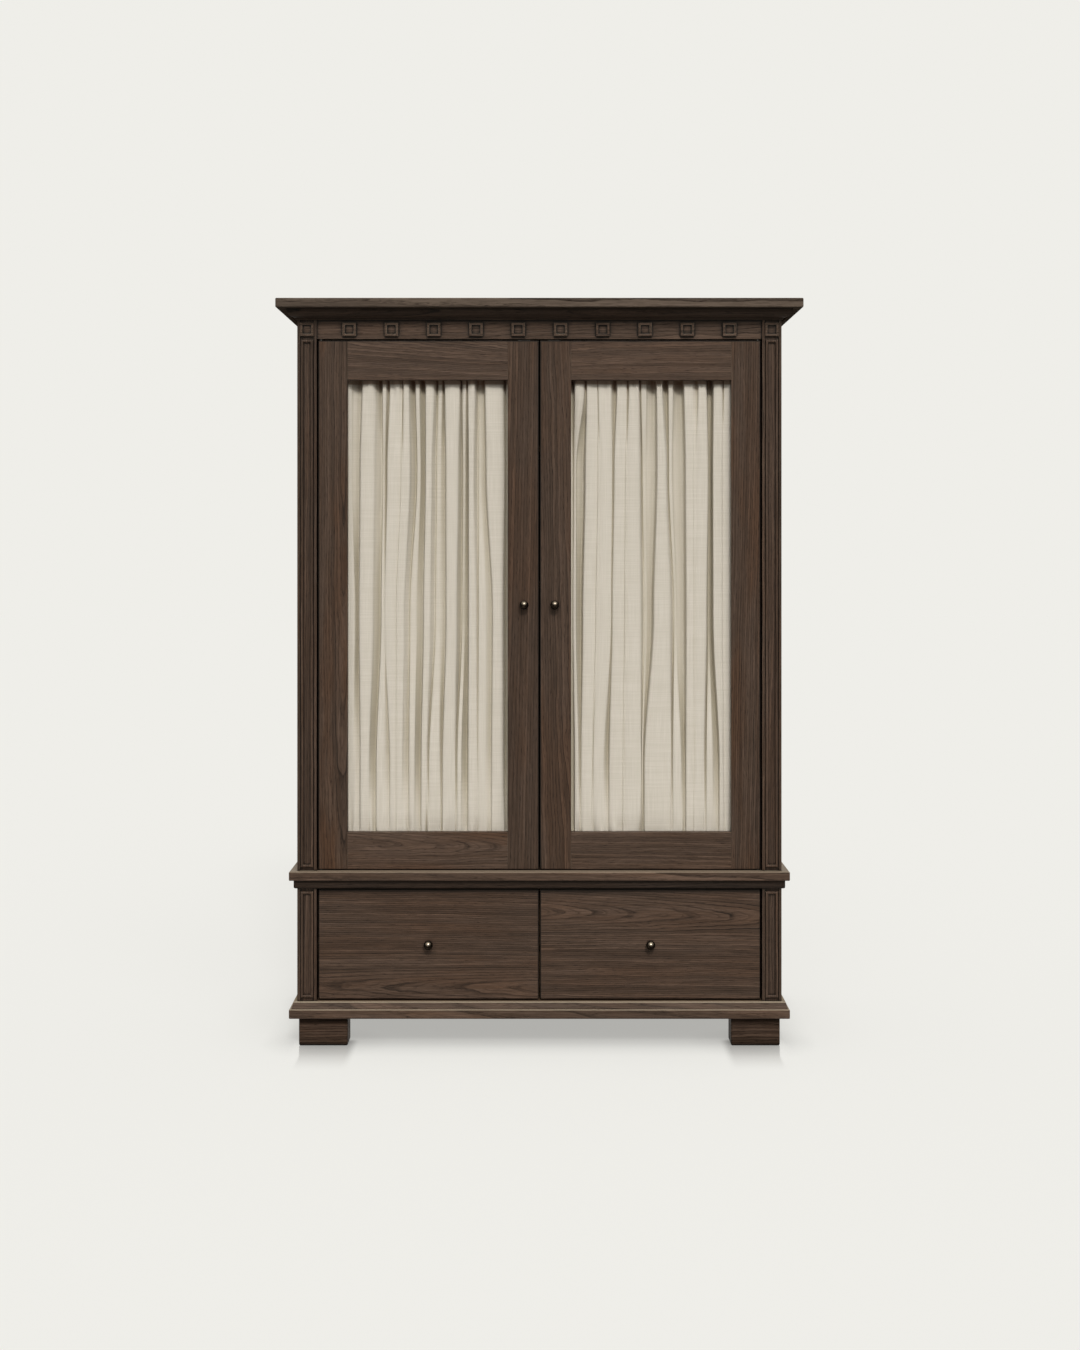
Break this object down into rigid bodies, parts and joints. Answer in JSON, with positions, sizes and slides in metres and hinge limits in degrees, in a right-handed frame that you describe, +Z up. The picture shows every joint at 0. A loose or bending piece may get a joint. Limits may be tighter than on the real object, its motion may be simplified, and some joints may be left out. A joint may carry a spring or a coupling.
{
  "type": "tall cabinet",
  "caption": "Tall dark-stained wooden cabinet with framed doors curtained in gathered linen over side-by-side drawers, with a moulded cornice, pilasters and block feet.",
  "frame": {"origin": "on the floor, under the middle of the cabinet's box", "axes": "+X to the right seen from the front, +Y to the back, +Z up"},
  "size_m": [1.464, 0.6, 2.088],
  "materials": {
    "stained_wood": "open-grained hardwood with a dark brown stain and a dull wax",
    "inner_wood": "the same stain, thinner and unwaxed",
    "bronze": "dark aged bronze, polished on the crown",
    "steel": "plain dull steel",
    "linen": "ivory plain-weave linen"
  },
  "bodies": {
    "case": {"base_board": "stained_wood", "base_moulding_front": "stained_wood", "base_moulding_returns": "stained_wood", "cornice_board": "stained_wood", "cornice_moulding_front": "stained_wood", "cornice_moulding_returns": "stained_wood", "door_catches": "steel", "drawer_partition": "inner_wood", "drawer_runners": "inner_wood", "drawer_sill": "inner_wood", "frieze_blocks": "stained_wood", "frieze_rail": "stained_wood", "front_feet": "stained_wood", "lower_back_panel": "inner_wood", "lower_pilaster_left": "stained_wood", "lower_pilaster_right": "stained_wood", "lower_side_left": "stained_wood", "lower_side_right": "stained_wood", "pilaster_beads": "stained_wood", "pivot_sockets": "steel", "rear_feet": "stained_wood", "shelf_lower": "inner_wood", "shelf_middle": "inner_wood", "shelf_pins": "steel", "shelf_upper": "inner_wood", "upper_back_panel": "inner_wood", "upper_pilaster_left": "stained_wood", "upper_pilaster_right": "stained_wood", "upper_side_left": "stained_wood", "upper_side_right": "stained_wood", "waist_board": "stained_wood", "waist_moulding_front": "stained_wood", "waist_moulding_returns": "stained_wood", "waist_rail": "inner_wood"},
    "left_door": {"left_bottom_rail": "stained_wood", "left_curtain": "linen", "left_curtain_rods": "steel", "left_door_ironwork": "steel", "left_door_knob": "bronze", "left_hinge_stile": "stained_wood", "left_meeting_stile": "stained_wood", "left_top_rail": "stained_wood"},
    "right_door": {"right_bottom_rail": "stained_wood", "right_curtain": "linen", "right_curtain_rods": "steel", "right_door_ironwork": "steel", "right_door_knob": "bronze", "right_hinge_stile": "stained_wood", "right_meeting_stile": "stained_wood", "right_top_rail": "stained_wood"},
    "left_drawer": {"left_drawer_bottom": "inner_wood", "left_drawer_box": "inner_wood", "left_drawer_front": "stained_wood", "left_drawer_knob": "bronze", "left_drawer_slides": "inner_wood"},
    "right_drawer": {"right_drawer_bottom": "inner_wood", "right_drawer_box": "inner_wood", "right_drawer_front": "stained_wood", "right_drawer_knob": "bronze", "right_drawer_slides": "inner_wood"}
  },
  "joints": [
    {"name": "left_door_hinge", "type": "hinge", "parent": "case", "child": "left_door", "pos_m": [-0.613, -0.232, 1.235], "axis": [0, 0, -1], "range_deg": [0, 105]},
    {"name": "right_door_hinge", "type": "hinge", "parent": "case", "child": "right_door", "pos_m": [0.613, -0.232, 1.235], "axis": [0, 0, 1], "range_deg": [0, 105]},
    {"name": "left_drawer_slide", "type": "slide", "parent": "case", "child": "left_drawer", "axis": [0, -1, 0], "range_m": [0, 0.36]},
    {"name": "right_drawer_slide", "type": "slide", "parent": "case", "child": "right_drawer", "axis": [0, -1, 0], "range_m": [0, 0.36]}
  ]
}
